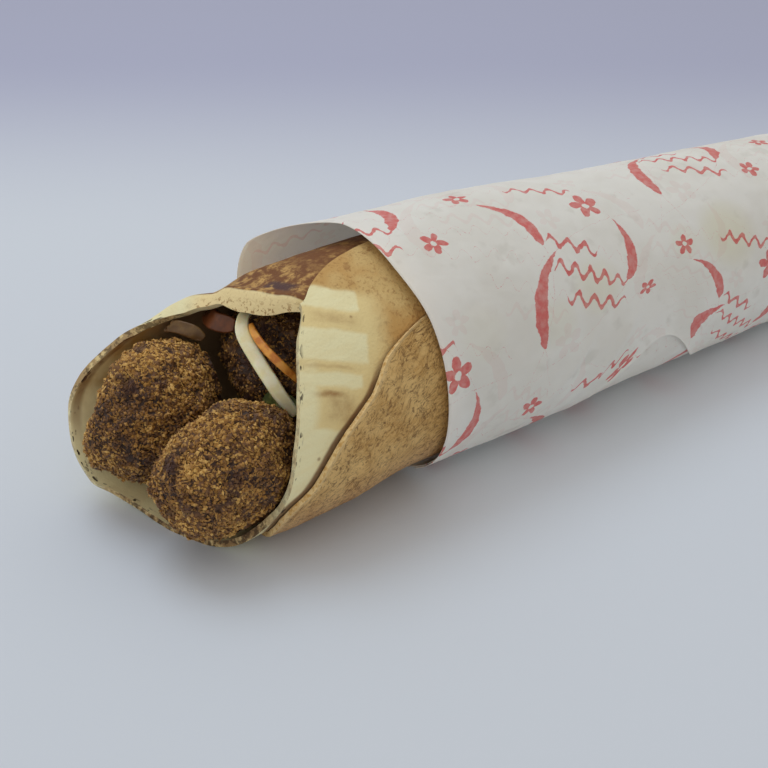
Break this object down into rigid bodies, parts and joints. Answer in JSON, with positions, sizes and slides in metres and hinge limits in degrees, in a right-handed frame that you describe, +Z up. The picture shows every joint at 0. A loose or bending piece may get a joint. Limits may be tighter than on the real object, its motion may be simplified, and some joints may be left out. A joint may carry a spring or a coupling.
{
  "type": "falafel wrap",
  "caption": "Rolled flatbread packed with falafel and salad, open at one end, held in a tucked paper sleeve; a hot snack eaten from the open end.",
  "frame": {"origin": "centre of the bounding box's bottom face, on the surface the wrap lies on", "axes": "+X along the roll from the open mouth to the tucked tail, +Z up; the mouth faces -X and the flap's edge is on the -Y side"},
  "size_m": [0.2485, 0.0683, 0.067],
  "materials": {
    "flatbread": "soft pale flatbread, dry, with toasted patches and small char marks",
    "toasted_flatbread": "dry griddled flatbread, golden brown and grainy",
    "paper": null,
    "falafel": "rough deep-fried crumb crust",
    "filling": "packed chopped falafel and salad, moist",
    "onion": "fresh cut onion, moist",
    "carrot": "fresh cut carrot, moist",
    "tomato": "fresh cut tomato, moist",
    "lettuce": "fresh leaf, slightly glossy",
    "cabbage": "fresh shredded cabbage, slightly glossy"
  },
  "bodies": {
    "root": {"flatbread": "flatbread", "flatbread_outer_ply": "toasted_flatbread", "paper_sleeve": "paper", "falafel_1": "falafel", "falafel_2": "falafel", "falafel_3": "falafel", "filling": "filling", "onion_strip": "onion", "carrot_strip": "carrot", "tomato_piece": "tomato", "lettuce_leaf": "lettuce", "cabbage_shred": "cabbage"}
  },
  "joints": []
}
